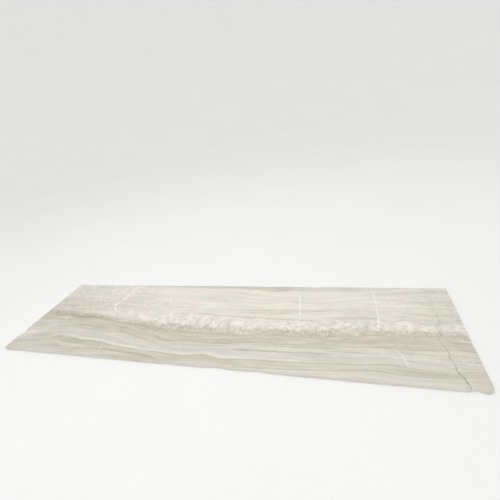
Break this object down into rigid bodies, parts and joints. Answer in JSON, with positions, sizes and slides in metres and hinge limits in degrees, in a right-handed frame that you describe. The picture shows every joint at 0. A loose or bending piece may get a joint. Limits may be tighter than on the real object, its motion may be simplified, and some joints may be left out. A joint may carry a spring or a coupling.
{
  "type": "marble slab",
  "caption": "Long thin slab of banded marble, polished on its upper face, with raw sawn sides, chipped arrises and a flat sawn back to lie on.",
  "frame": {"origin": "middle of the underside, on the surface that the slab lies on", "axes": "+X along the long side, +Z out of the polished face, -Y towards the long side with the worn corners"},
  "size_m": [2.9, 0.81, 0.02],
  "materials": {
    "marble": "polished face, raw sawn sides and back"
  },
  "bodies": {
    "root": {"slab": "marble"}
  },
  "joints": []
}
